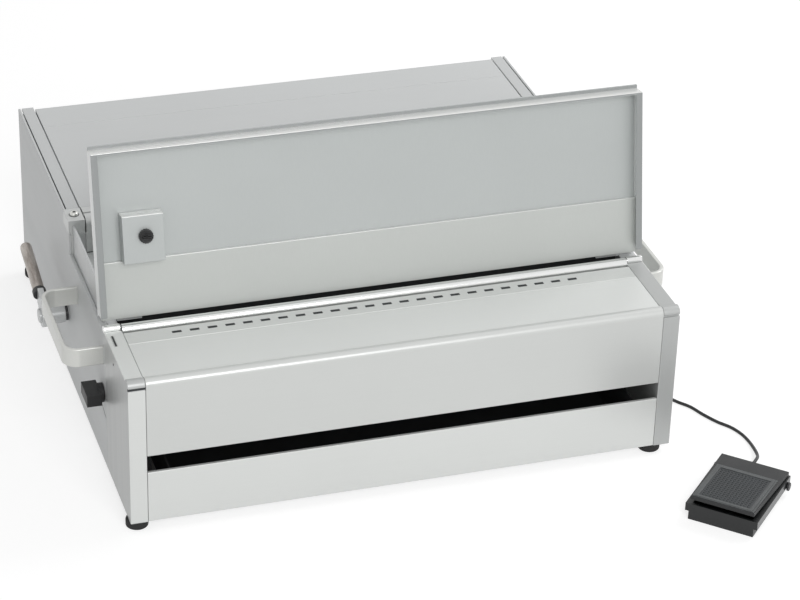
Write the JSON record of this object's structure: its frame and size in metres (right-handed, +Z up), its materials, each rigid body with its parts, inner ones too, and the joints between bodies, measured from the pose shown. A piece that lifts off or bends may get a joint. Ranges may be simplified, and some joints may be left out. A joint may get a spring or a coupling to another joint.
{
  "type": "electric binding punch",
  "caption": "Desk punch for binding: sheets drop into a throat before a leaning tray and a motor drives a row of pins through them; chip drawer, carry handles and foot switch.",
  "frame": {"origin": "on the floor under the middle of the machine's four feet", "axes": "+X to the machine's right as its user faces it, +Y to the back, +Z up"},
  "size_m": [0.5525, 0.6352, 0.2749],
  "materials": {
    "silver_paint": "satin silver paint on sheet metal",
    "pale_paint": "satin pale silver paint on sheet metal",
    "tray_paint": "satin grey silver paint on sheet metal",
    "bright_bar": "polished bar",
    "frame_steel": "brushed steel plate",
    "handle_metal": "satin flat band",
    "tool_steel": "ground tool steel",
    "dark_metal": "dark paint",
    "grip_metal": "worn round steel grip",
    "bronze": "plain bronze",
    "black_plastic": "moulded black plastic",
    "board": "circuit board with its parts",
    "black_rubber": "black rubber",
    "black_jacket": "soft black cord jacket",
    "black_sheet": "black paint on sheet metal",
    "fixings": "plated screws"
  },
  "bodies": {
    "chassis": {"cheek_left": "silver_paint", "cheek_right": "silver_paint", "side_panel_left": "silver_paint", "side_panel_right": "silver_paint", "rear_panel": "silver_paint", "rear_top_cover": "silver_paint", "housing_front": "silver_paint", "corner_blocks": "silver_paint", "deck_cover": "silver_paint", "scale_strip": "silver_paint", "front_cover": "pale_paint", "paper_tray": "tray_paint", "tray_lower_plate": "tray_paint", "throat_bar": "bright_bar", "base_plate": "frame_steel", "side_frame_left": "frame_steel", "side_frame_right": "frame_steel", "tray_brackets": "frame_steel", "drawer_rails": "frame_steel", "carry_handle_left": "handle_metal", "carry_handle_right": "handle_metal", "die_plate": "tool_steel", "pin_guide_plate": "tool_steel", "pedal_spring": "tool_steel", "pedal_pin": "tool_steel", "gearbox": "dark_metal", "motor": "dark_metal", "motor_bracket": "dark_metal", "ram_guides": "bronze", "camshaft_bearings": "bronze", "power_inlet": "black_plastic", "power_switch": "black_plastic", "pedal_base": "black_plastic", "pedal_switch": "black_plastic", "cord_gland": "black_plastic", "control_board": "board", "rubber_feet": "black_rubber", "cord_lead": "black_jacket", "cord_coil": "black_jacket", "cord_run": "black_jacket", "slot_panel": "black_sheet", "screws": "fixings"},
    "paper_stop": {"margin_knob": "black_plastic", "paper_stop_rod": "tool_steel"},
    "edge_guide": {"edge_guide": "tray_paint"},
    "edge_knob": {"edge_guide_knob": "black_plastic"},
    "lock_lever": {"lock_arm": "frame_steel", "lock_grip": "grip_metal", "lock_shaft": "frame_steel"},
    "drawer": {"chip_drawer": "silver_paint"},
    "ram": {"punch_pins": "tool_steel", "pin_retainer": "tool_steel", "pressure_bar": "tool_steel", "ram_yokes": "tool_steel"},
    "camshaft": {"camshaft": "tool_steel", "cams": "tool_steel", "drive_gear": "tool_steel"},
    "pinion": {"pinion": "tool_steel"},
    "rocker": {"power_rocker": "black_plastic"},
    "treadle": {"pedal_treadle": "black_plastic"}
  },
  "joints": [
    {"name": "camshaft_turn", "type": "hinge", "parent": "chassis", "child": "camshaft", "pos_m": [0, -0.023, 0.086], "axis": [1, 0, 0], "range_deg": [0, 180]},
    {"name": "ram_slide", "type": "slide", "parent": "chassis", "child": "ram", "axis": [0, -1, 0], "range_m": [-0.0002, 0.0132]},
    {"name": "pinion_turn", "type": "hinge", "parent": "chassis", "child": "pinion", "pos_m": [0, 0.025, 0.086], "axis": [1, 0, 0], "range_deg": [-545, 5]},
    {"name": "paper_stop_turn", "type": "hinge", "parent": "chassis", "child": "paper_stop", "pos_m": [0, -0.1235, 0.0735], "axis": [1, 0, 0], "range_deg": [0, 180]},
    {"name": "lock_lever_turn", "type": "hinge", "parent": "chassis", "child": "lock_lever", "pos_m": [-0.2455, 0.015, 0.069], "axis": [1, 0, 0], "range_deg": [0, 80]},
    {"name": "drawer_slide", "type": "slide", "parent": "chassis", "child": "drawer", "axis": [0, -1, 0], "range_m": [0, 0.078]},
    {"name": "edge_guide_slide", "type": "slide", "parent": "chassis", "child": "edge_guide", "axis": [1, 0, 0], "range_m": [-0.012, 0.09]},
    {"name": "edge_knob_turn", "type": "hinge", "parent": "edge_guide", "child": "edge_knob", "pos_m": [-0.187, -0.11664, 0.20552], "axis": [0, 0.9848, -0.1736], "range_deg": [-180, 180]},
    {"name": "rocker_turn", "type": "hinge", "parent": "chassis", "child": "rocker", "pos_m": [-0.095, 0.207, 0.047], "axis": [1, 0, 0], "range_deg": [0, 16]},
    {"name": "treadle_turn", "type": "hinge", "parent": "chassis", "child": "treadle", "pos_m": [0.27045, -0.2794, 0.008], "axis": [0.7218, -0.6921, 0], "range_deg": [0, 3], "stiffness_Nm_per_rad": 1, "springref_deg": -3.44, "deforming": ["pedal_spring"]}
  ],
  "couplings": [
    {"joint": "ram_slide", "follows": "camshaft_turn", "m_per_rad": 0.004138},
    {"joint": "pinion_turn", "follows": "camshaft_turn", "ratio": -3}
  ]
}
